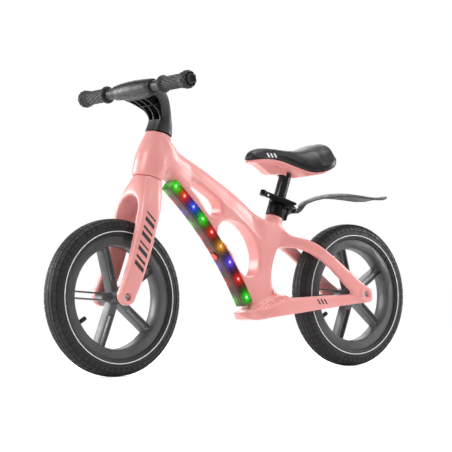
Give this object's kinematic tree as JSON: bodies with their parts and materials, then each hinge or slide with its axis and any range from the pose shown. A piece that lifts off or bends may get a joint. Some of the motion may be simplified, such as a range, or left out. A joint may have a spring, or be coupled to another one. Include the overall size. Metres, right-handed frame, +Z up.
{
  "type": "balance bike",
  "caption": "Child's balance bike with one-piece frame and stays, light strip on the down tube, turning fork, adjustable saddle, rear mudguard and spoked wheels.",
  "frame": {"origin": "on the ground, midway between the two axles and in the mid plane", "axes": "+X forward, +Y to the rider's left, +Z up"},
  "size_m": [0.911, 0.36, 0.5688],
  "materials": {
    "pink_nylon": "satin",
    "black_moulding": "satin",
    "grey_rim_nylon": "satin",
    "tyre_rubber": "matte",
    "butyl_rubber": "matte",
    "grip_rubber": "matte",
    "reflective_print": "satin",
    "saddle_foam_skin": "satin",
    "black_steel": "satin",
    "black_aluminium": "satin",
    "bearing_steel": "satin",
    "zinc_plated_bolts": "satin",
    "valve_brass": "satin",
    "smoked_cover": "gloss",
    "circuit_board": "satin",
    "led_lens": "gloss",
    "red_button": "satin"
  },
  "bodies": {
    "frame": {"frame": "pink_nylon", "lower_headset_bearing": "bearing_steel", "upper_headset_bearing": "bearing_steel", "light_base": "black_moulding", "light_cover": "smoked_cover", "light_boards": "circuit_board", "light_leds": "led_lens", "button_bezel": "black_moulding", "battery_cells": "bearing_steel", "light_screws": "bearing_steel", "rear_axle": "bearing_steel", "rear_axle_bolts": "zinc_plated_bolts", "rear_axle_spacers": "bearing_steel", "seat_collar": "black_aluminium", "collar_bolts": "black_steel", "seat_clamp": "black_aluminium", "clamp_skewer": "black_steel", "guard_bracket": "black_moulding", "guard_pin": "black_steel"},
    "steering": {"fork": "pink_nylon", "steerer_tube": "black_steel", "crown_race": "bearing_steel", "top_race": "bearing_steel", "stem": "black_moulding", "handlebar": "black_steel", "grip_left": "grip_rubber", "grip_right": "grip_rubber", "front_axle": "bearing_steel", "front_axle_bolts": "zinc_plated_bolts", "front_axle_spacers": "bearing_steel"},
    "front_wheel": {"front_rim": "grey_rim_nylon", "front_tyre": "tyre_rubber", "front_inner_tube": "butyl_rubber", "front_reflective_lines": "reflective_print", "front_valve": "valve_brass", "front_valve_cap": "black_moulding", "front_hub_bearings": "bearing_steel", "front_hub_spacer": "bearing_steel"},
    "rear_wheel": {"rear_rim": "grey_rim_nylon", "rear_tyre": "tyre_rubber", "rear_inner_tube": "butyl_rubber", "rear_reflective_lines": "reflective_print", "rear_valve": "valve_brass", "rear_valve_cap": "black_moulding", "rear_hub_bearings": "bearing_steel", "rear_hub_spacer": "bearing_steel"},
    "seat": {"seat_post": "black_steel", "post_plug": "black_moulding", "saddle_base": "pink_nylon", "saddle_pad": "saddle_foam_skin"},
    "quick_lever": {"quick_lever": "black_steel"},
    "mudguard": {"mudguard": "black_moulding"},
    "light_button": {"light_button": "red_button"}
  },
  "joints": [
    {"name": "steering", "type": "hinge", "parent": "frame", "child": "steering", "pos_m": [0.295, 0, 0.15], "axis": [-0.3123, 0, 0.95], "range_deg": [-60, 60]},
    {"name": "front_wheel_spin", "type": "hinge", "parent": "steering", "child": "front_wheel", "pos_m": [0.3055, 0, 0.15], "axis": [0, 1, 0], "continuous": true},
    {"name": "rear_wheel_spin", "type": "hinge", "parent": "frame", "child": "rear_wheel", "pos_m": [-0.3055, 0, 0.15], "axis": [0, 1, 0], "continuous": true},
    {"name": "seat_height", "type": "slide", "parent": "frame", "child": "seat", "axis": [-0.3535, 0, 0.9354], "range_m": [-0.035, 0.055]},
    {"name": "quick_release", "type": "hinge", "parent": "frame", "child": "quick_lever", "pos_m": [-0.13234, 0.024, 0.3344], "axis": [-0.3535, 0, 0.9354], "range_deg": [0, 150]},
    {"name": "mudguard_tilt", "type": "hinge", "parent": "frame", "child": "mudguard", "pos_m": [-0.152, 0, 0.325], "axis": [0, 1, 0], "range_deg": [-12, 12]},
    {"name": "button_press", "type": "slide", "parent": "frame", "child": "light_button", "axis": [-0.81, 0, 0.5864], "range_m": [0, 0.0012], "stiffness_N_per_m": 400, "springref_m": -0.0008}
  ]
}
